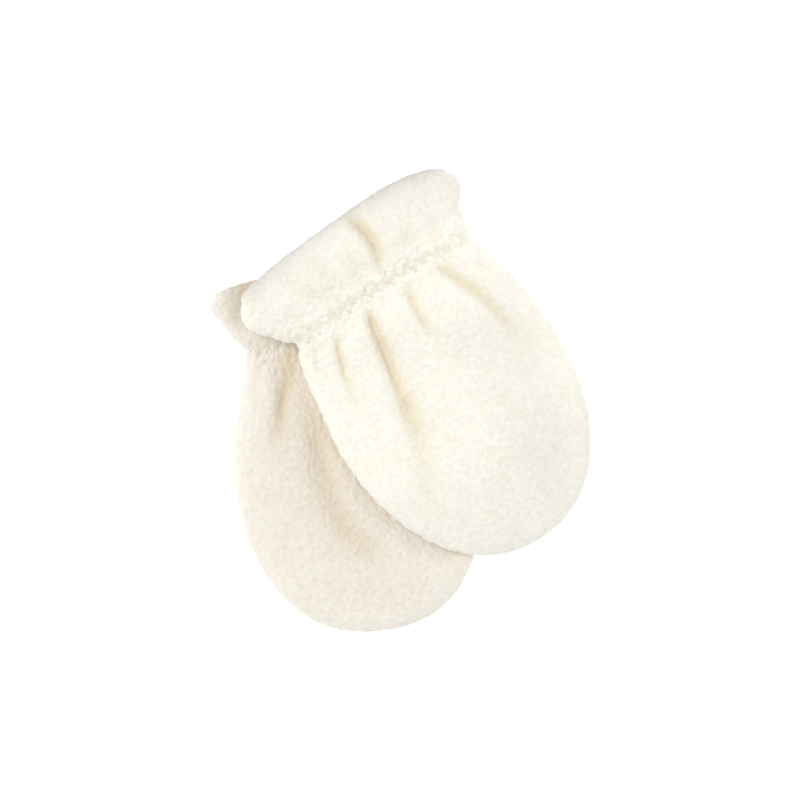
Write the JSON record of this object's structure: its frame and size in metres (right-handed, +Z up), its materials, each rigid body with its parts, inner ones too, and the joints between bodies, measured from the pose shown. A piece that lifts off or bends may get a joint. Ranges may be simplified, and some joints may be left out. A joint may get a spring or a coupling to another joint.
{
  "type": "pair of baby mittens",
  "caption": "Pair of elasticated fleece baby mittens lying flat, one turned across the other, each with a front and a back panel, a gathered wrist and a turned-in cuff.",
  "frame": {"origin": "middle of the pair's footprint, on the surface that it lies on", "axes": "+Z up from the surface; +Y towards the cuffs, along the pair's longest side; +X to the right seen from above"},
  "size_m": [0.1232, 0.1488, 0.0207],
  "materials": {
    "fleece": "matt cream polar fleece with a short curly nap and a soft sheen at its edges"
  },
  "bodies": {
    "root": {"lower_back_panel": "fleece", "lower_front_panel": "fleece", "upper_back_panel": "fleece", "upper_front_panel": "fleece"}
  },
  "joints": []
}
